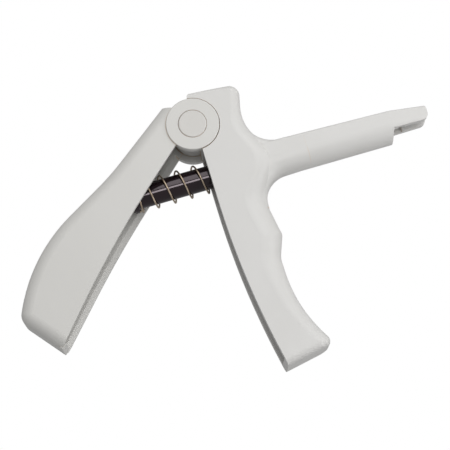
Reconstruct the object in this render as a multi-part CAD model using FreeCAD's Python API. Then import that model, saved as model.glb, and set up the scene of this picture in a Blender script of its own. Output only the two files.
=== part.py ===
import FreeCAD, Part
import math
import os

# Hand-held gun that dispenses dental composite from single-dose capsules.
# A finger handle, head and barrel in one moulding, and a rear palm lever pivoted in the head.
# Squeezing the lever drives a sprung plunger along the barrel into the capsule in the nose.
#
# Millimetres. Origin: the pivot axis at mid width. +X along the barrel to the nose, +Z up,
# Y across the gun, -Y the near side. The gun is symmetric about the plane Y = 0 except for
# the spring and the open rim of the lever.

# ---- driving dimensions --------------------------------------------------------------
ROD_Z = -19.6             # height of the plunger axis below the pivot
BODY_HALF = 10.0          # half width of the head and finger handle
LEVER_HALF = 9.9          # half width of the lever walls
DISC_HALF = 10.6          # half width over the two raised pivot discs
WALL = 3.3                # moulded wall thickness
LEVER_SWING = 48.0        # degrees the lever turns from open to closed
DRIVE_PER_RAD = 24.0      # plunger travel for one radian of lever, held by the cam rib

# ---- pivot ---------------------------------------------------------------------------
DISC_R = 10.35            # lever ears, seen as the round discs
EAR_INNER = 7.3           # half gap between the ears
POCKET_CLEARANCE = 0.25   # round pocket in the head, larger than the ear by this
TONGUE_HALF = 7.15        # head tongue that stands between the ears
TONGUE_R = 7.8
TONGUE_CLEARANCE = 0.4    # lever web stays this far off the tongue
AXLE_R = 2.5
AXLE_HALF = 10.0          # half length of the steel axle
AXLE_CHAMFER = 0.3
AXLE_FIT = 0.04           # running clearance of the axle in the tongue
CAP_R = 5.5
CAP_FACE = 10.85          # outer face of a pivot cap
CAP_SEAT = 8.4            # bottom of the counterbore that takes the cap
CAP_GAP = 0.1             # ring gap round the cap
CAP_CROWN = 0.5           # rounding of the cap rim
DISC_EDGE = 0.35          # rounding of the disc rim

# ---- barrel and nose -----------------------------------------------------------------
BARREL_R = 7.5            # half-round underside, concentric with the plunger
BARREL_ROOT_X = 14.0
BARREL_FRONT_X = 75.0     # the full section ends here, the two jaws carry on
BARREL_TOP_ROOT = -13.6   # top edge of the flat barrel side at the root
BARREL_TOP_FRONT = -15.15
BARREL_FRONT_HALF = 6.5
BARREL_CROWN = 0.5        # height of the top surface above its two edges
BARREL_EDGE = 1.0         # rounding between the top and the flat sides
NOSE_TIP_X = 89.6
NOSE_HALF = 5.3
NOSE_TOP_TIP = -16.8
NOSE_BOTTOM = -22.3
NOSE_CHIN_ROUND = 2.6
NOSE_BROW_ROUND = 2.0
FRONT_LEAN = 1.6          # the lower front face leans back by this much at the bottom
SEAT_R = 2.85             # capsule body
COLLAR_R = 3.95           # groove for the capsule collar
COLLAR_START = 76.9
COLLAR_END = 79.5

# ---- plunger -------------------------------------------------------------------------
ROD_R = 4.6
ROD_FIT = 0.06            # radial running clearance of the rod in its guide
ROD_HEAD_R = 6.0
DOME_R = 7.0              # round rear face that the cam rib pushes on
DOME_X = -26.4            # centre of the dome with the lever open
FLANGE_FRONT_X = -28.6    # front face of the flange, where the spring bears
ROD_STEP_X = 13.0
ROD_NOSE_R = 2.9
ROD_NOSE_X = 53.0
ROD_CHAMFER = 0.8
TIP_R = 1.7
TIP_START_X = 43.0
TIP_END_X = 73.2
TIP_CHAMFER = 0.4
STEM_FIT = 0.1            # radial running clearance of the thin rod in the barrel
GUIDE_SPARE = 0.6         # the wide bore is this much longer than the rod needs
BORE_OVERLAP = 0.5        # each bore is cut this far into the next one

# ---- spring --------------------------------------------------------------------------
WIRE_R = 0.35
SPRING_OUTER_R = 6.25
SPRING_SEAT_X = 10.0      # shoulder inside the body where the front end bears
SPRING_PITCH = 6.75
COIL_TOP_X = -18.0        # one coil crosses the top of the rod here
CLOSED_PITCH = 0.75       # the end turns almost touch
CLOSED_TURNS = 0.75
RAMP_TURNS = 0.5          # turns over which the pitch opens up
SPRING_SLACK = 0.05       # gap between the wire and what it bears on
POINTS_PER_TURN = 12
SPRING_PIECES = 14        # the coil surface is split into this many pieces along the wire

# ---- hollows -------------------------------------------------------------------------
CHANNEL_HALF = 6.7        # half width inside the handle and the lever
CHANNEL_ROOF = -11.5      # top of the handle channel, just under the tongue
GUIDE_CHIN = 1.0          # the block round the rod reaches this far under the barrel
CAM_HALF = 3.0            # half width of the cam rib in the lever
CAM_CLEARANCE = 0.03
CAM_POINTS = 13
OPENING_SHIFT = 12.0      # a channel is run this far past its open side
OVERCUT = 2.0             # cutters reach this far outside what they cut

AXIS_Y = FreeCAD.Vector(0, 1, 0)
AXIS_X = FreeCAD.Vector(1, 0, 0)


# ---- helpers -------------------------------------------------------------------------
def xz(x, z):
    return FreeCAD.Vector(x, 0, z)


def rounded_outline(corners):
    """Closed wire in the XZ plane; each corner is (x, z, rounding radius)."""
    points = [xz(x, z) for x, z, _ in corners]
    count = len(corners)
    arcs = []
    for i in range(count):
        here = points[i]
        radius = corners[i][2]
        if radius == 0:
            arcs.append((here, here, here))
            continue
        before = (points[i - 1] - here).normalize()
        after = (points[(i + 1) % count] - here).normalize()
        half_angle = before.getAngle(after) / 2
        reach = radius / math.tan(half_angle)
        middle = (before + after).normalize() * (radius / math.sin(half_angle) - radius)
        arcs.append((here + before * reach, here + middle, here + after * reach))
    edges = []
    for i in range(count):
        start, middle, end = arcs[i]
        last_end = arcs[i - 1][2]
        edges.append(Part.LineSegment(last_end, start).toShape())
        if start != end:
            edges.append(Part.Arc(start, middle, end).toShape())
    return Part.Wire(edges)


def slab(wire, half_width):
    """Extrude a closed XZ wire evenly to both sides of the plane Y = 0."""
    face = Part.Face(wire)
    solid = face.extrude(AXIS_Y * (2 * half_width))
    solid.translate(AXIS_Y * -half_width)
    return solid


def inset(wire, distance):
    """The same outline, moved inwards by one wall thickness."""
    return Part.Face(wire).makeOffset2D(-distance).OuterWire


def cylinder_y(radius, y_from, y_to, x=0.0, z=0.0):
    return Part.makeCylinder(radius, y_to - y_from, FreeCAD.Vector(x, y_from, z), AXIS_Y)


def cylinder_x(radius, x_from, x_to):
    return Part.makeCylinder(radius, x_to - x_from, xz(x_from, ROD_Z), AXIS_X)


def box(x_from, x_to, half_width, z_from, z_to):
    corner = FreeCAD.Vector(x_from, -half_width, z_from)
    return Part.makeBox(x_to - x_from, 2 * half_width, z_to - z_from, corner)


def turned(points):
    """Solid of revolution about the plunger axis from (x, radius) points."""
    wire = Part.makePolygon([xz(x, ROD_Z + radius) for x, radius in points + points[:1]])
    return Part.Face(wire).revolve(xz(0, ROD_Z), AXIS_X, 360)


# ---- front body: head, finger handle and barrel in one moulding -----------------------
# Side view of the head and handle. The head top and the heel are cut to shape afterwards.
HEAD_TOP = (1.3, 12.4)        # rear end of the head top
HEAD_TOP_SLOPE = 3.0          # degrees, falling to the front
HEEL = (8.2, -99.9)           # rear end of the foot
FOOT_SLOPE = 10.8             # degrees, rising to the front
LOFT_TOP = 16.0
LOFT_BOTTOM = -106.0
LOFT_STEP = 2.0
HEAD_LEVEL = 9.0              # edges above this belong to the head top
HEAD_REAR_X = 1.6             # edges wholly behind this belong to its rear
FOOT_LEVEL = -94.0            # edges below this belong to the foot
FOOT_REAR_X = 9.2             # edges wholly behind this belong to its rear
HANDLE_CORNERS = [
    (0.9, 30.0, 0.0),
    (26.5, 30.0, 0.0),
    (18.7, -3.0, 16.0),         # throat above the barrel
    (28.4, -20.6, 8.4),         # bulge that carries the barrel
    (19.2, -33.5, 9.0),         # finger rest under the barrel
    (19.2, -37.5, 0.0),
    (21.15, -50.1, 1.6),        # finger stop
    (17.85, -58.8, 8.0),
    (17.85, -80.0, 54.0),       # long grip hollow
    (37.08, -112.0, 0.0),
    (10.1, -112.0, 0.0),
    (0.9, -63.0, 330.0),        # rear edge, nearly straight
]
EDGE_RADII = [(12.0, 3.6), (4.0, 3.8), (-8.0, 6.5), (-20.0, 8.2), (-40.0, 9.0), (-60.0, 8.3),
              (-75.0, 7.0), (-90.0, 6.0)]   # (height, rounding of the finger side)
FOOT_ROUND = 2.6
HEAD_REAR_ROUND = 1.4
HEAD_TOP_EDGE = 0.7           # rounding along the head top
HEAD_SHOULDER = 3.6           # rounding where the head top turns down to the finger side
SHOULDER_START_X = 14.0
SHOULDER_END_X = 21.5


def edge_radius(z):
    """Rounding of the finger side at height z, eased between the listed heights."""
    if z >= EDGE_RADII[0][0]:
        return EDGE_RADII[0][1]
    for (z_high, r_high), (z_low, r_low) in zip(EDGE_RADII, EDGE_RADII[1:]):
        if z >= z_low:
            t = (z - z_high) / (z_low - z_high)
            return r_high + (r_low - r_high) * t * t * (3 - 2 * t)
    return EDGE_RADII[-1][1]


def level_section(side_face, z, half_width, inset_depth, open_by):
    """One horizontal section of the handle: a U with a rounded finger side."""
    level = Part.LineSegment(xz(-100, z), xz(100, z)).toShape()
    ends = [v.Point.x for v in side_face.common(level).Vertexes]
    rear = min(ends) - open_by
    front = max(ends) - inset_depth
    radius = edge_radius(z) - inset_depth
    diagonal = radius * (1 - math.sqrt(0.5))
    start = front - radius

    def at(x, y):
        return FreeCAD.Vector(x, y, z)

    rear_near = at(rear, -half_width)
    side_near = at(start, -half_width)
    mid_near = at(front - diagonal, diagonal - half_width)
    front_near = at(front, radius - half_width)
    front_far = at(front, half_width - radius)
    mid_far = at(front - diagonal, half_width - diagonal)
    side_far = at(start, half_width)
    rear_far = at(rear, half_width)
    return Part.Wire([
        Part.LineSegment(rear_near, side_near).toShape(),
        Part.Arc(side_near, mid_near, front_near).toShape(),
        Part.LineSegment(front_near, front_far).toShape(),
        Part.Arc(front_far, mid_far, side_far).toShape(),
        Part.LineSegment(side_far, rear_far).toShape(),
        Part.LineSegment(rear_far, rear_near).toShape(),
    ])


def handle_loft(z_top, z_bottom, half_width, inset_depth=0.0, open_by=0.0):
    side_face = Part.Face(rounded_outline(HANDLE_CORNERS))
    count = round((z_top - z_bottom) / LOFT_STEP)
    levels = [z_top + (z_bottom - z_top) * i / count for i in range(count + 1)]
    wires = [level_section(side_face, z, half_width, inset_depth, open_by) for z in levels]
    return Part.makeLoft(wires, True, False)


def half_space(point, angle, upwards):
    """Large block above or below a sloping plane through (x, z)."""
    reach = 120.0
    corner = FreeCAD.Vector(-reach, -reach, 0 if upwards else -reach)
    block = Part.makeBox(2 * reach, 2 * reach, reach, corner)
    block.rotate(FreeCAD.Vector(0, 0, 0), AXIS_Y, angle)
    block.translate(xz(*point))
    return block


def varied_fillet(solid, edge_radii):
    """Round edges with a radius that changes along each; [(index, start r, end r)]."""
    document = FreeCAD.newDocument("fillet")
    base = document.addObject("Part::Feature", "base")
    base.Shape = solid
    rounded = document.addObject("Part::Fillet", "rounded")
    rounded.Base = base
    rounded.Edges = edge_radii
    document.recompute()
    shape = rounded.Shape.copy()
    FreeCAD.closeDocument(document.Name)
    return shape


def head_edge_radius(point):
    """Crisp along the head top, growing to the soft front shoulder."""
    t = (point.x - SHOULDER_START_X) / (SHOULDER_END_X - SHOULDER_START_X)
    t = min(max(t, 0.0), 1.0)
    return HEAD_TOP_EDGE + (HEAD_SHOULDER - HEAD_TOP_EDGE) * t * t * (3 - 2 * t)


def head_rear_corner():
    """What the rounding of the head's rear top corner takes off."""
    rear_x = HANDLE_CORNERS[0][0]
    top_z = HEAD_TOP[1]
    size = 3 * HEAD_REAR_ROUND
    drop = size * math.tan(math.radians(HEAD_TOP_SLOPE))
    return slab(rounded_outline([
        (rear_x, top_z - size, 0.0),
        (rear_x, top_z, HEAD_REAR_ROUND),
        (rear_x + size, top_z - drop, 0.0),
        (rear_x + size, top_z + size, 0.0),
        (rear_x - size, top_z + size, 0.0),
        (rear_x - size, top_z - size, 0.0),
    ]), BODY_HALF + OVERCUT)


def handle_solid():
    solid = handle_loft(LOFT_TOP, LOFT_BOTTOM, BODY_HALF)
    solid = solid.cut(half_space(HEAD_TOP, HEAD_TOP_SLOPE, True))
    solid = solid.cut(half_space(HEEL, -FOOT_SLOPE, False))
    top_edges = []
    for number, edge in enumerate(solid.Edges, start=1):
        if edge.BoundBox.ZMin > HEAD_LEVEL and edge.BoundBox.XMax > HEAD_REAR_X:
            start_r = head_edge_radius(edge.firstVertex(True).Point)
            end_r = head_edge_radius(edge.lastVertex(True).Point)
            top_edges.append((number, start_r, end_r))
    solid = varied_fillet(solid, top_edges)
    foot = [e for e in solid.Edges
            if e.BoundBox.ZMax < FOOT_LEVEL and e.BoundBox.XMax > FOOT_REAR_X]
    return solid.makeFillet(FOOT_ROUND, foot).cut(head_rear_corner())


THROAT_CORNERS = [
    (8.0, 4.0, 0.0),
    (19.3, 4.0, 0.0),
    (19.65, -13.7, 12.0),       # sweep from the head down to the barrel top
    (33.0, -13.85, 0.0),
    (40.0, -15.0, 0.0),
    (40.0, -26.6, 0.0),
    (19.6, -27.25, 10.6),       # sweep from the barrel underside to the finger rest
    (19.5, -38.5, 0.0),
    (8.0, -38.5, 0.0),
]
THROAT_HALF = 7.2
TOP_SWEEP_ROUND = 2.4
LOW_SWEEP_ROUND = 5.5


def throat():
    """Web that carries the head and handle smoothly into the barrel."""
    solid = slab(rounded_outline(THROAT_CORNERS), THROAT_HALF)
    top_sweep = []
    low_sweep = []
    for edge in solid.Edges:
        if isinstance(edge.Curve, Part.Circle):
            above = edge.BoundBox.ZMin > ROD_Z
            (top_sweep if above else low_sweep).append(edge)
    solid = solid.makeFillet(LOW_SWEEP_ROUND, low_sweep)
    return solid.makeFillet(TOP_SWEEP_ROUND, top_sweep)


def barrel_section(x, half_width, top):
    """D section: half-round underside, flat sides, slightly crowned top."""
    spring_line = ROD_Z - BARREL_R + half_width
    corner = BARREL_EDGE
    bite = corner * (1 - math.sqrt(0.5))

    def at(y, z):
        return FreeCAD.Vector(x, y, z)

    return Part.Wire([
        Part.Arc(at(-half_width, spring_line), at(0, ROD_Z - BARREL_R),
                 at(half_width, spring_line)).toShape(),
        Part.LineSegment(at(half_width, spring_line), at(half_width, top - corner)).toShape(),
        Part.Arc(at(half_width, top - corner), at(half_width - bite, top - bite),
                 at(half_width - corner, top)).toShape(),
        Part.Arc(at(half_width - corner, top), at(0, top + BARREL_CROWN),
                 at(corner - half_width, top)).toShape(),
        Part.Arc(at(corner - half_width, top), at(bite - half_width, top - bite),
                 at(-half_width, top - corner)).toShape(),
        Part.LineSegment(at(-half_width, top - corner), at(-half_width, spring_line)).toShape(),
    ])


def nose_brow():
    """What the rounding of the nose's top front corner takes off."""
    crown_z = NOSE_TOP_TIP + BARREL_CROWN
    slope = (BARREL_TOP_FRONT - NOSE_TOP_TIP) / (NOSE_TIP_X - BARREL_FRONT_X)
    size = 2 * NOSE_BROW_ROUND
    return slab(rounded_outline([
        (NOSE_TIP_X - size, crown_z + slope * size, 0.0),
        (NOSE_TIP_X, crown_z, NOSE_BROW_ROUND),
        (NOSE_TIP_X, crown_z - size, 0.0),
        (NOSE_TIP_X + size, crown_z - size, 0.0),
        (NOSE_TIP_X + size, crown_z + size, 0.0),
        (NOSE_TIP_X - size, crown_z + size, 0.0),
    ]), BARREL_R)


def barrel():
    """Barrel and the two nose jaws, before any bores."""
    root = barrel_section(BARREL_ROOT_X, BARREL_R, BARREL_TOP_ROOT)
    front = barrel_section(BARREL_FRONT_X, BARREL_FRONT_HALF, BARREL_TOP_FRONT)
    tip = barrel_section(NOSE_TIP_X, NOSE_HALF, NOSE_TOP_TIP)
    underside = ROD_Z - BARREL_R
    solid = Part.makeLoft([root, front], True, True)
    solid = solid.fuse(Part.makeLoft([front, tip], True, True)).removeSplitter()
    below_jaws = slab(rounded_outline([
        (BARREL_FRONT_X, NOSE_BOTTOM, 0.0),
        (NOSE_TIP_X + 1, NOSE_BOTTOM, 0.0),
        (NOSE_TIP_X + 1, underside - 1, 0.0),
        (BARREL_FRONT_X - FRONT_LEAN, underside - 1, 0.0),
        (BARREL_FRONT_X - FRONT_LEAN, underside, 0.0),
    ]), BARREL_R)
    solid = solid.cut(below_jaws)
    chin = [e for e in solid.Edges
            if e.BoundBox.XMin > NOSE_TIP_X - 0.01 and abs(e.BoundBox.ZMax - NOSE_BOTTOM) < 0.01]
    return solid.makeFillet(NOSE_CHIN_ROUND, chin).cut(nose_brow())


def bores():
    """Everything cut out of the barrel and nose on the plunger axis."""
    travel = DRIVE_PER_RAD * math.radians(LEVER_SWING)
    guide_end = ROD_STEP_X + travel + GUIDE_SPARE
    cuts = cylinder_x(ROD_R + ROD_FIT, SPRING_SEAT_X - OVERCUT, guide_end)
    cuts = cuts.fuse(cylinder_x(ROD_NOSE_R + STEM_FIT, guide_end - BORE_OVERLAP,
                                BARREL_FRONT_X + BORE_OVERLAP))
    below = ROD_Z - BARREL_R - OVERCUT
    cuts = cuts.fuse(cylinder_x(SEAT_R, BARREL_FRONT_X, NOSE_TIP_X + OVERCUT))
    cuts = cuts.fuse(box(BARREL_FRONT_X, NOSE_TIP_X + OVERCUT, SEAT_R, below, ROD_Z))
    cuts = cuts.fuse(cylinder_x(COLLAR_R, COLLAR_START, COLLAR_END))
    return cuts.fuse(box(COLLAR_START, COLLAR_END, COLLAR_R, below, ROD_Z))


def handle_channel():
    """Hollow of the handle, open to the rear, with the block that guides the rod left in."""
    hollow = handle_loft(CHANNEL_ROOF, LOFT_BOTTOM, CHANNEL_HALF, WALL, OPENING_SHIFT)
    floor = (HEEL[0], HEEL[1] + WALL)
    hollow = hollow.cut(half_space(floor, -FOOT_SLOPE, False))
    guide_block = box(SPRING_SEAT_X, BARREL_FRONT_X, BODY_HALF,
                      ROD_Z - BARREL_R - GUIDE_CHIN, 0)
    return hollow.cut(guide_block)


def front_body():
    solid = handle_solid().fuse(throat()).fuse(barrel())
    for side in (-1, 1):
        outer = side * (DISC_HALF + OVERCUT)
        inner = side * TONGUE_HALF
        solid = solid.cut(cylinder_y(DISC_R + POCKET_CLEARANCE, min(outer, inner),
                                     max(outer, inner)))
    solid = solid.fuse(cylinder_y(TONGUE_R, -TONGUE_HALF, TONGUE_HALF))
    solid = solid.cut(handle_channel()).cut(bores())
    through = TONGUE_HALF + OVERCUT
    return solid.cut(cylinder_y(AXLE_R + AXLE_FIT, -through, through))


# ---- rear lever ------------------------------------------------------------------------
LEVER_CORNERS = [
    (-9.6, 10.4, 0.0),          # top of the web, beside the ears
    (-36.1, -9.8, 115.0),       # neck
    (-73.8, -31.7, 65.0),       # palm swell
    (-83.5, -54.8, 4.9),        # lower rear corner
    (-71.1, -70.0, 0.0),        # lower front corner
    (-40.5, -36.6, 450.0),      # open front edge, nearly straight
    (-7.65, -6.75, 0.0),
    (0.0, 0.0, 0.0),
    (-5.5, 8.6, 0.0),
]
LEVER_ROUND = 4.7             # back edges
BACK_LINE = 8.0               # the back lies above the line z = x + this
BACK_START_X = -12.0
LOWER_CORNER_X = -75.0
LEVER_OPEN_WAY = xz(0.605, -0.796)    # along the end wall, out of the open side
RIM_BEVEL = 1.9                       # inner edges of the open rim

# The open rim of the near wall (-Y) is cut back a little further than that of the far wall.
RIM_NEAR = [(-71.1, -70.0, 0.0), (-41.6, -35.7, 450.0), (-8.4, -6.0, 0.0)]
RIM_FAR = [(-71.1, -70.0, 0.0), (-40.5, -36.6, 450.0), (-7.65, -6.75, 0.0)]
RIM_OUTSIDE = [(12.0, -30.0, 0.0), (-55.0, -95.0, 0.0)]


def is_back_edge(edge):
    """Side edges of the lever from the neck round to the lower corner."""
    box_of = edge.BoundBox
    if box_of.YMax - box_of.YMin > 0.01:
        return False
    ends = [v.Point for v in edge.Vertexes]
    mid_x = sum(p.x for p in ends) / 2
    mid_z = sum(p.z for p in ends) / 2
    on_back = mid_z > mid_x + BACK_LINE and mid_x < BACK_START_X
    return on_back or mid_x < LOWER_CORNER_X


def turn_back(x, z, swing):
    cos_s = math.cos(swing)
    sin_s = math.sin(swing)
    return xz(x * cos_s + z * sin_s, z * cos_s - x * sin_s)


def cam_point(swing):
    """Contact of dome and cam, on the line from the instant centre through the dome."""
    centre_x = DOME_X + DRIVE_PER_RAD * swing
    normal = xz(centre_x, ROD_Z + DRIVE_PER_RAD).normalize()
    reach = DOME_R + CAM_CLEARANCE
    return turn_back(centre_x + normal.x * reach, ROD_Z + normal.z * reach, swing)


def cam_region(corners):
    """Face bounded by the cam curve and by straight lines through the corners."""
    swing = math.radians(LEVER_SWING)
    points = [cam_point(swing * i / (CAM_POINTS - 1)) for i in range(CAM_POINTS)]
    curve = Part.BSplineCurve()
    curve.interpolate(points)
    back = Part.makePolygon([points[-1]] + [xz(x, z) for x, z in corners] + [points[0]])
    return Part.Wire([curve.toShape()] + back.Edges)


def rim_region(corners, y, set_back=0.0):
    """Closed wire round everything in front of the open rim at one width."""
    wire = rounded_outline(corners + RIM_OUTSIDE)
    wire.translate(AXIS_Y * y - LEVER_OPEN_WAY * set_back)
    return wire


def rim_cuts():
    """What lies in front of the open rim, with a bevel along the inner edge of each wall."""
    cuts = Part.makeLoft([rim_region(RIM_NEAR, -LEVER_HALF), rim_region(RIM_FAR, LEVER_HALF)],
                         True, True)
    for corners, side in ((RIM_NEAR, -1), (RIM_FAR, 1)):
        inner = rim_region(corners, side * CHANNEL_HALF, RIM_BEVEL)
        outer = rim_region(corners, side * (CHANNEL_HALF + RIM_BEVEL))
        cuts = cuts.fuse(Part.makeLoft([inner, outer], True, True))
    return cuts


def lever_hollow(outline):
    """Inside of the lever, run out through its open side."""
    inner = slab(inset(outline, WALL), CHANNEL_HALF)
    hollow = inner
    for share in (0.5, 1.0):
        shifted = inner.copy()
        shifted.translate(LEVER_OPEN_WAY * (OPENING_SHIFT * share))
        hollow = hollow.fuse(shifted)
    return hollow


def lever_shell():
    outline = rounded_outline(LEVER_CORNERS)
    blank = slab(outline, LEVER_HALF)
    blank = blank.makeFillet(LEVER_ROUND, [e for e in blank.Edges if is_back_edge(e)])
    return blank.cut(lever_hollow(outline)).cut(rim_cuts())


# Straight sides of the cam rib and of the room that the dome of the rod sweeps in front of it.
RIB_CORNERS = [(-14, 9), (-34, 2), (-60, -18), (-44, -26), (-34.4, -27.0)]
SWEEP_CORNERS = [(-14, -4), (-14, -26), (-33.8, -27.2)]


def rear_lever():
    solid = lever_shell()
    rib = slab(cam_region(RIB_CORNERS), CAM_HALF)
    solid = solid.fuse(rib.common(slab(rounded_outline(LEVER_CORNERS), LEVER_HALF)))
    solid = solid.cut(slab(cam_region(SWEEP_CORNERS), CHANNEL_HALF))
    for side in (-1, 1):
        y_ends = sorted((side * EAR_INNER, side * DISC_HALF))
        ear = cylinder_y(DISC_R, *y_ends)
        rim = [e for e in ear.Edges if abs(e.BoundBox.YMin - side * DISC_HALF) < 0.01
               and abs(e.BoundBox.YMax - side * DISC_HALF) < 0.01]
        solid = solid.fuse(ear.makeFillet(DISC_EDGE, rim))
    solid = solid.cut(cylinder_y(TONGUE_R + TONGUE_CLEARANCE, -EAR_INNER, EAR_INNER))
    in_front = 2 * DISC_R
    solid = solid.cut(box(0, in_front, EAR_INNER, -in_front, in_front))
    through = DISC_HALF + OVERCUT
    solid = solid.cut(cylinder_y(AXLE_R, -through, through))
    for side in (-1, 1):
        y_ends = sorted((side * CAP_SEAT, side * through))
        solid = solid.cut(cylinder_y(CAP_R + CAP_GAP, *y_ends))
    return solid


# ---- pivot -----------------------------------------------------------------------------
def pivot_axle():
    axle = cylinder_y(AXLE_R, -AXLE_HALF, AXLE_HALF)
    rims = [e for e in axle.Edges if isinstance(e.Curve, Part.Circle)]
    return axle.makeChamfer(AXLE_CHAMFER, rims)


def pivot_cap(side):
    y_ends = sorted((side * CAP_SEAT, side * CAP_FACE))
    cap = cylinder_y(CAP_R, *y_ends)
    rim = [e for e in cap.Edges if abs(e.BoundBox.YMin - side * CAP_FACE) < 0.01
           and abs(e.BoundBox.YMax - side * CAP_FACE) < 0.01]
    cap = cap.makeFillet(CAP_CROWN, rim)
    socket = sorted((side * CAP_SEAT, side * AXLE_HALF))
    return cap.cut(cylinder_y(AXLE_R, *socket))


# ---- plunger ---------------------------------------------------------------------------
def plunger_rod():
    dome_edge_x = DOME_X - math.sqrt(DOME_R ** 2 - ROD_HEAD_R ** 2)
    half_angle = math.asin(ROD_HEAD_R / DOME_R) / 2
    dome_mid = xz(DOME_X - DOME_R * math.cos(half_angle), ROD_Z + DOME_R * math.sin(half_angle))
    dome = Part.Arc(xz(DOME_X - DOME_R, ROD_Z), dome_mid,
                    xz(dome_edge_x, ROD_Z + ROD_HEAD_R)).toShape()
    chamfer = ROD_CHAMFER
    profile = [
        (dome_edge_x, ROD_HEAD_R), (FLANGE_FRONT_X, ROD_HEAD_R), (FLANGE_FRONT_X, ROD_R),
        (ROD_STEP_X - chamfer, ROD_R), (ROD_STEP_X, ROD_R - chamfer), (ROD_STEP_X, ROD_NOSE_R),
        (ROD_NOSE_X - chamfer, ROD_NOSE_R), (ROD_NOSE_X, ROD_NOSE_R - chamfer),
        (ROD_NOSE_X, TIP_R), (TIP_START_X, TIP_R), (TIP_START_X, 0), (DOME_X - DOME_R, 0),
    ]
    lines = Part.makePolygon([xz(x, ROD_Z + r) for x, r in profile])
    face = Part.Face(Part.Wire([dome] + lines.Edges))
    return face.revolve(xz(0, ROD_Z), AXIS_X, 360)


def plunger_tip():
    return turned([(TIP_START_X, 0), (TIP_START_X, TIP_R), (TIP_END_X - TIP_CHAMFER, TIP_R),
                   (TIP_END_X, TIP_R - TIP_CHAMFER), (TIP_END_X, 0)])


# ---- return spring ---------------------------------------------------------------------
def spring_pitch(turn, turns):
    """Rise per turn: almost closed at both ends, full pitch in between."""
    from_end = min(turn, turns - turn)
    share = min(max((from_end - CLOSED_TURNS) / RAMP_TURNS, 0.0), 1.0)
    return CLOSED_PITCH + (SPRING_PITCH - CLOSED_PITCH) * share


def return_spring():
    mean_r = SPRING_OUTER_R - WIRE_R
    start_x = FLANGE_FRONT_X + WIRE_R + SPRING_SLACK
    end_x = SPRING_SEAT_X - WIRE_R - SPRING_SLACK
    end_rise = CLOSED_PITCH * CLOSED_TURNS + (CLOSED_PITCH + SPRING_PITCH) / 2 * RAMP_TURNS
    full_turns = (end_x - start_x - 2 * end_rise) / SPRING_PITCH
    end_turns = CLOSED_TURNS + RAMP_TURNS
    turns = full_turns + 2 * end_turns
    turns_to_top = end_turns + (COIL_TOP_X - start_x - end_rise) / SPRING_PITCH
    steps = round(turns * POINTS_PER_TURN)
    step = turns / steps
    x = start_x
    points = []
    for i in range(steps + 1):
        angle = 2 * math.pi * (i * step - turns_to_top)
        points.append(FreeCAD.Vector(x, -mean_r * math.sin(angle),
                                     ROD_Z + mean_r * math.cos(angle)))
        x += spring_pitch((i + 0.5) * step, turns) * step
    path = Part.BSplineCurve()
    path.interpolate(points)
    start = path.FirstParameter
    span = (path.LastParameter - start) / SPRING_PIECES
    pieces = [path.toShape(start + span * i, start + span * (i + 1))
              for i in range(SPRING_PIECES)]
    wire_end = Part.Circle(points[0], path.tangent(start)[0], WIRE_R).toShape()
    return Part.Wire(pieces).makePipeShell([Part.Wire([wire_end])], True, True)


# ---- export ----------------------------------------------------------------------------
def main():
    nodes = {
        "front_body": front_body(),
        "rear_lever": rear_lever(),
        "pivot_axle": pivot_axle(),
        "pivot_cap_near": pivot_cap(-1),
        "pivot_cap_far": pivot_cap(1),
        "plunger_rod": plunger_rod(),
        "plunger_tip": plunger_tip(),
        "return_spring": return_spring(),
    }
    os.makedirs("parts", exist_ok=True)
    for name, shape in nodes.items():
        shape.exportStep("parts/" + name + ".step")


main()
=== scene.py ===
import bpy
from mathutils import Matrix, Vector


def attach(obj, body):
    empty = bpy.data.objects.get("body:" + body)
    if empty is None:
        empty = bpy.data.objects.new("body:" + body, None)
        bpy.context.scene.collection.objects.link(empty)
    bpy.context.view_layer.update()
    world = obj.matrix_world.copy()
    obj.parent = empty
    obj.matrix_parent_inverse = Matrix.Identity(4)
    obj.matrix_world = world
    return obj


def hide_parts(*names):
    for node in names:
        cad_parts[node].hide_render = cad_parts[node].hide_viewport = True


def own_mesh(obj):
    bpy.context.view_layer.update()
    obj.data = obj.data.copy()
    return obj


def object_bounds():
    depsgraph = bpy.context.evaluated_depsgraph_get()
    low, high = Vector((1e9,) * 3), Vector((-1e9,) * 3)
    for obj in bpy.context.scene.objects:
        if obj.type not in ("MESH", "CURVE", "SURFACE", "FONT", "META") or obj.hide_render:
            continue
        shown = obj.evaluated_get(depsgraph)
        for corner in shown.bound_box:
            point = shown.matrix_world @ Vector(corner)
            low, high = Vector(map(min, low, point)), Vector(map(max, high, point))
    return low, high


# A hand-held gun that dispenses dental composite from single-dose capsules. It lies on its
# side on a pale floor. Metres; X along the barrel to the nose, Z up the handle, Y across.

MM = 0.001
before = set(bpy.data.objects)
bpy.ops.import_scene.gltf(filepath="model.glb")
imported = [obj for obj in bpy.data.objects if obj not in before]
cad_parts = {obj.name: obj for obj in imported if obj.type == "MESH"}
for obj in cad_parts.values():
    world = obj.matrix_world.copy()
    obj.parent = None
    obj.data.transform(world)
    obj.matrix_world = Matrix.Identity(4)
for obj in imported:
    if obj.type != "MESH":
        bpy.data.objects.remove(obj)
cad_low, cad_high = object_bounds()

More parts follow.
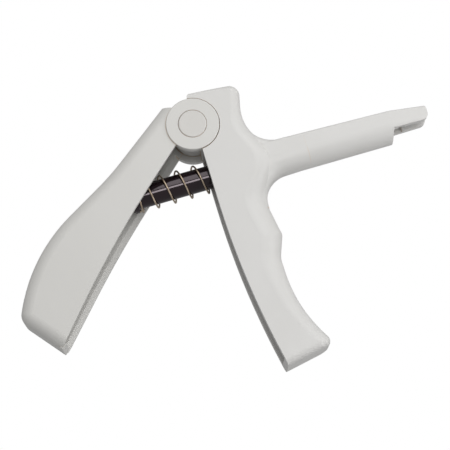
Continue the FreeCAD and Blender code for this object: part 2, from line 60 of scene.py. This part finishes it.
# ---- colours ---------------------------------------------------------------------------
# two shades of the mottling and, on the mouldings, the colour of the polished edges
BODY_COLOURS = (0.665, 0.658, 0.642), (0.645, 0.637, 0.618), (0.70, 0.69, 0.67)
LEVER_COLOURS = (0.655, 0.647, 0.624), (0.635, 0.626, 0.600), (0.69, 0.68, 0.66)
CAP_COLOURS = (0.635, 0.622, 0.597), (0.615, 0.600, 0.573), (0.67, 0.66, 0.635)
ACETAL_COLOURS = (0.004, 0.001, 0.002), (0.008, 0.003, 0.005)
WIRE_COLOURS = (0.58, 0.48, 0.37), (0.44, 0.35, 0.26)
STEEL_COLOURS = (0.66, 0.66, 0.67), (0.52, 0.52, 0.53)
PAINTED_GAP_SHADE = (0.62, 0.44, 0.26)                    # painted brown shade in the gaps between mouldings and in tight inner corners
POLISH = 0.35                                     # how far edges take the polished colour
PURPLE_SHEEN = (1.0, 0.88, 0.93, 1.0)

# ---- floor, view and light ---------------------------------------------------------------
FLOOR_SIZE = 6.0
FLOOR_GAP = 0.1 * MM                              # keeps the gun's far faces off the floor
CAMERA_PLACE = Vector((-0.0445, -0.5694, -0.1760))
CAMERA_TARGET = Vector((0.0013, 0.0, -0.0396))
CAMERA_UP = Vector((0.2764, -0.2447, 0.9294))     # the camera is rolled over to one side
CAMERA_LENS = 121.84                              # mm on a 36 mm sensor
CAMERA_NEAR = 0.05
CAMERA_FAR = 20.0
SKY_TOWARDS = Vector((0.65, -0.75, 0.00))         # to the right and towards the camera
SKY_FRONT = 0.40                                  # strength of the sky on that side
SKY_BEHIND = 0.40                                 # and on the far side, where it is as bright
SOFT_BOXES = (                                    # name, place, width and watts
    ("key_light", (0.24, -0.56, 0.36), 0.60, 2.45),
    ("front_light", (0.04, -0.63, -0.08), 0.16, 0.55),
    ("low_light", (0.46, -0.25, -0.48), 0.40, 1.10),
    ("side_light", (0.60, -0.26, -0.08), 0.40, 0.40),
)


# ---- node helpers ----------------------------------------------------------------------
class Shader:
    """A material's node tree with short ways to add and join its nodes."""

    def __init__(self, name):
        self.material = bpy.data.materials.new(name)
        self.material.use_nodes = True
        self.tree = self.material.node_tree
        self.surface = self.tree.nodes["Principled BSDF"]
        place = self.tree.nodes.new("ShaderNodeTexCoord")
        self.place = place.outputs["Object"]
        self.normal = None

    def set(self, **values):
        """Set inputs of the surface; underscores stand for the spaces in their names."""
        for name, value in values.items():
            self.surface.inputs[name.replace("_", " ")].default_value = value

    def join(self, source, target):
        self.tree.links.new(source, target)

    def noise(self, size, detail=2.0, roughness=0.5, stretch=(1, 1, 1)):
        """Noise whose features are about size metres across, 0 to 1."""
        scale = self.tree.nodes.new("ShaderNodeVectorMath")
        scale.operation = "MULTIPLY"
        scale.inputs[1].default_value = [axis / size for axis in stretch]
        self.join(self.place, scale.inputs[0])
        noise = self.tree.nodes.new("ShaderNodeTexNoise")
        noise.inputs["Scale"].default_value = 1.0
        noise.inputs["Detail"].default_value = detail
        noise.inputs["Roughness"].default_value = roughness
        self.join(scale.outputs[0], noise.inputs["Vector"])
        return noise.outputs["Fac"]

    def spread(self, value, low, high, start=0.3, end=0.7):
        """Map start..end of a value to low..high, held flat outside.

        Most of a noise lies within the start and end given here.
        """
        node = self.tree.nodes.new("ShaderNodeMapRange")
        node.inputs["From Min"].default_value = start
        node.inputs["From Max"].default_value = end
        node.inputs["To Min"].default_value = low
        node.inputs["To Max"].default_value = high
        self.join(value, node.inputs["Value"])
        return node.outputs["Result"]

    def mix(self, share, first, second):
        """Blend two colours, or colour outputs, by a 0 to 1 value."""
        node = self.tree.nodes.new("ShaderNodeMix")
        node.data_type = "RGBA"
        self.join(share, node.inputs["Factor"])
        # sockets 6 and 7 are the colours A and B, and output 2 is their blend
        for colour, target in ((first, node.inputs[6]), (second, node.inputs[7])):
            if isinstance(colour, tuple):
                target.default_value = colour + (1.0,)
            else:
                self.join(colour, target)
        return node.outputs[2]

    def mottle(self, size, first, second, detail=2.0, stretch=(1, 1, 1)):
        """Colour that drifts between two shades in patches about size metres across."""
        patches = self.noise(size, detail, stretch=stretch)
        return self.mix(self.spread(patches, 0.0, 1.0), first, second)

    def edges(self, reach):
        """1 close to sharp edges, within reach of them, and 0 on flats."""
        flat = 0.98
        sharp = 0.72
        bevel = self.tree.nodes.new("ShaderNodeBevel")
        bevel.samples = 6
        bevel.inputs["Radius"].default_value = reach
        geometry = self.tree.nodes.new("ShaderNodeNewGeometry")
        turn = self.tree.nodes.new("ShaderNodeVectorMath")
        turn.operation = "DOT_PRODUCT"
        self.join(bevel.outputs["Normal"], turn.inputs[0])
        self.join(geometry.outputs["Normal"], turn.inputs[1])
        return self.spread(turn.outputs["Value"], 1.0, 0.0, sharp, flat)

    def seams(self, reach):
        """1 in narrow gaps and tight inner corners, 0 out in the open."""
        closed = 0.35
        open_air = 0.85
        shade = self.tree.nodes.new("ShaderNodeAmbientOcclusion")
        shade.samples = 8
        shade.inputs["Distance"].default_value = reach
        return self.spread(shade.outputs["AO"], 1.0, 0.0, closed, open_air)

    def bump(self, height, depth):
        """Raise the surface by depth metres times height; calls stack up."""
        node = self.tree.nodes.new("ShaderNodeBump")
        node.inputs["Strength"].default_value = 1.0
        node.inputs["Distance"].default_value = depth
        self.join(height, node.inputs["Height"])
        if self.normal is not None:
            self.join(self.normal, node.inputs["Normal"])
        self.normal = node.outputs["Normal"]
        self.join(self.normal, self.surface.inputs["Normal"])

    def paint(self, colour):
        """Take the colour from a colour output."""
        self.join(colour, self.surface.inputs["Base Color"])

    def finish(self, roughness):
        """Take the roughness from a value output."""
        self.join(roughness, self.surface.inputs["Roughness"])


# ---- materials -------------------------------------------------------------------------
def satin_plastic(name, pale, dark, worn):
    """Satin moulding: flow mottling, fine grain, edges polished by handling, painted brown
    shade in the seams.
    """
    shader = Shader(name)
    body = shader.mottle(28 * MM, pale, dark, detail=3.0, stretch=(1, 1, 0.6))
    edge = shader.edges(0.5 * MM)
    clean = shader.mix(shader.spread(edge, 0.0, POLISH, 0.0, 1.0), body, worn)
    # painted shade: the colour turns browner and darker where gaps and inner corners keep out
    # the light
    shader.paint(shader.mix(shader.seams(0.6 * MM), clean, PAINTED_GAP_SHADE))
    smudge = shader.noise(9 * MM, detail=4.0, roughness=0.6)
    shader.finish(shader.spread(smudge, 0.34, 0.44))
    grain = shader.noise(0.22 * MM, detail=2.0)
    shader.bump(grain, 0.003 * MM)
    waves = shader.noise(7 * MM, detail=1.0)
    shader.bump(waves, 0.05 * MM)
    shader.set(IOR=1.49)
    return shader.material


def black_acetal():
    """Turned black acetal: glossy, with a purple cast and fine rub marks along its length."""
    shader = Shader("black_acetal")
    shader.paint(shader.mottle(6 * MM, *ACETAL_COLOURS))
    rubs = shader.noise(0.5 * MM, detail=3.0, stretch=(0.05, 1, 1))
    shader.finish(shader.spread(rubs, 0.07, 0.13))
    shader.bump(rubs, 0.001 * MM)
    shader.set(IOR=1.55, Specular_Tint=PURPLE_SHEEN)
    return shader.material


def drawn_wire():
    """Stainless spring wire with a faint brown heat tint and long die marks."""
    shader = Shader("drawn_wire")
    shader.paint(shader.mottle(3 * MM, *WIRE_COLOURS))
    marks = shader.noise(0.25 * MM, detail=3.0, stretch=(1, 0.3, 0.3))
    shader.finish(shader.spread(marks, 0.30, 0.45))
    shader.bump(marks, 0.004 * MM)
    shader.set(Metallic=1.0)
    return shader.material


def ground_steel():
    """Ground stainless pin: a fine grain over slightly dulled patches."""
    shader = Shader("ground_steel")
    shader.paint(shader.mottle(1.5 * MM, *STEEL_COLOURS, detail=3.0))
    grain = shader.noise(0.1 * MM, detail=1.0)
    shader.finish(shader.spread(grain, 0.18, 0.32))
    shader.bump(grain, 0.004 * MM)
    shader.set(Metallic=1.0)
    return shader.material


def white_floor():
    """Evenly white from above and clear from below, so that the gun's far side shows too."""
    shader = Shader("white_floor")
    white = shader.tree.nodes.new("ShaderNodeEmission")
    clear = shader.tree.nodes.new("ShaderNodeBsdfTransparent")
    geometry = shader.tree.nodes.new("ShaderNodeNewGeometry")
    side = shader.tree.nodes.new("ShaderNodeMixShader")
    shader.join(geometry.outputs["Backfacing"], side.inputs["Fac"])
    shader.join(white.outputs[0], side.inputs[1])
    shader.join(clear.outputs[0], side.inputs[2])
    shader.join(side.outputs[0], shader.tree.nodes["Material Output"].inputs["Surface"])
    return shader.material


def dress(piece, material):
    """Give a piece one material, whatever slots it came with."""
    if not piece.data.materials:
        piece.data.materials.append(material)
    for index in range(len(piece.data.materials)):
        piece.data.materials[index] = material


# ---- stage -----------------------------------------------------------------------------
def floor():
    """Large plane that the gun lies on; its upper side faces the camera."""
    mesh = bpy.data.meshes.new("floor")
    reach = FLOOR_SIZE / 2
    depth = cad_high.y + FLOOR_GAP
    corners = [(-reach, depth, -reach), (reach, depth, -reach), (reach, depth, reach),
               (-reach, depth, reach)]
    mesh.from_pydata(corners, [], [(0, 1, 2, 3)])
    plane = bpy.data.objects.new("floor", mesh)
    plane.visible_diffuse = False           # it neither shades nor lights the gun; the sky does
    plane.visible_glossy = False
    plane.visible_transmission = False
    plane.visible_shadow = False
    bpy.context.scene.collection.objects.link(plane)
    dress(plane, white_floor())


def looking(place, target, up):
    """Matrix of a camera or lamp at place that looks at target."""
    back = (place - target).normalized()
    right = up.cross(back).normalized()
    top = back.cross(right)
    turn = Matrix((right, top, back)).transposed().to_4x4()
    return Matrix.Translation(place) @ turn


def soft_box(name, place, width, power):
    """Square lamp at place that shines on the gun."""
    lamp = bpy.data.lights.new(name, "AREA")
    lamp.size = width
    lamp.energy = power
    box = bpy.data.objects.new(name, lamp)
    box.matrix_world = looking(Vector(place), CAMERA_TARGET, Vector((0, 0, 1)))
    bpy.context.scene.collection.objects.link(box)


def sky():
    """Soft light from all round, from SKY_FRONT to SKY_BEHIND, and white to the camera."""
    world = bpy.data.worlds.new("sky")
    world.use_nodes = True
    nodes = world.node_tree.nodes
    join = world.node_tree.links.new
    place = nodes.new("ShaderNodeTexCoord")
    facing = nodes.new("ShaderNodeVectorMath")
    facing.operation = "DOT_PRODUCT"
    facing.inputs[1].default_value = SKY_TOWARDS.normalized()
    join(place.outputs["Generated"], facing.inputs[0])
    strength = nodes.new("ShaderNodeMapRange")
    strength.inputs["From Min"].default_value = -1.0
    strength.inputs["To Min"].default_value = SKY_BEHIND
    strength.inputs["To Max"].default_value = SKY_FRONT
    join(facing.outputs["Value"], strength.inputs["Value"])
    path = nodes.new("ShaderNodeLightPath")
    seen = nodes.new("ShaderNodeMix")
    seen.inputs["B"].default_value = 1.0
    join(path.outputs["Is Camera Ray"], seen.inputs["Factor"])
    join(strength.outputs["Result"], seen.inputs["A"])
    join(seen.outputs["Result"], nodes["Background"].inputs["Strength"])
    nodes["Background"].inputs["Color"].default_value = (1, 1, 1, 1)
    bpy.context.scene.world = world


def studio():
    """Soft boxes above the camera, beside it, below the gun and to its right, and the sky."""
    for name, place, width, power in SOFT_BOXES:
        soft_box(name, place, width, power)
    sky()
    bpy.context.scene.view_settings.view_transform = "Standard"


def camera():
    """Long lens in front of the gun's near side, rolled so that the barrel rises."""
    data = bpy.data.cameras.new("camera")
    data.lens = CAMERA_LENS
    data.clip_start = CAMERA_NEAR
    data.clip_end = CAMERA_FAR
    view = bpy.data.objects.new("camera", data)
    view.matrix_world = looking(CAMERA_PLACE, CAMERA_TARGET, CAMERA_UP)
    bpy.context.scene.collection.objects.link(view)
    bpy.context.scene.camera = view


# ---- build -----------------------------------------------------------------------------
def squeezed_spring(material):
    """The coil spring, copied with a mesh of its own and hung on the body in place of the
    model's spring.
    """
    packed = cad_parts["return_spring"]
    spring = bpy.data.objects.new("coil_spring", packed.data.copy())
    spring.matrix_world = packed.matrix_world
    bpy.context.scene.collection.objects.link(spring)
    dress(spring, material)
    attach(spring, "body")
    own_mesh(spring)
    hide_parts("return_spring")


def main():
    body_plastic = satin_plastic("body_plastic", *BODY_COLOURS)
    lever_plastic = satin_plastic("lever_plastic", *LEVER_COLOURS)
    cap_plastic = satin_plastic("cap_plastic", *CAP_COLOURS)
    steel = ground_steel()
    finishes = {
        "front_body": body_plastic,
        "rear_lever": lever_plastic,
        "pivot_cap_near": cap_plastic,
        "pivot_cap_far": cap_plastic,
        "plunger_rod": black_acetal(),
        "plunger_tip": steel,
        "pivot_axle": steel,
    }
    for node, material in finishes.items():
        dress(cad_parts[node], material)
    squeezed_spring(drawn_wire())
    floor()
    studio()
    camera()


main()
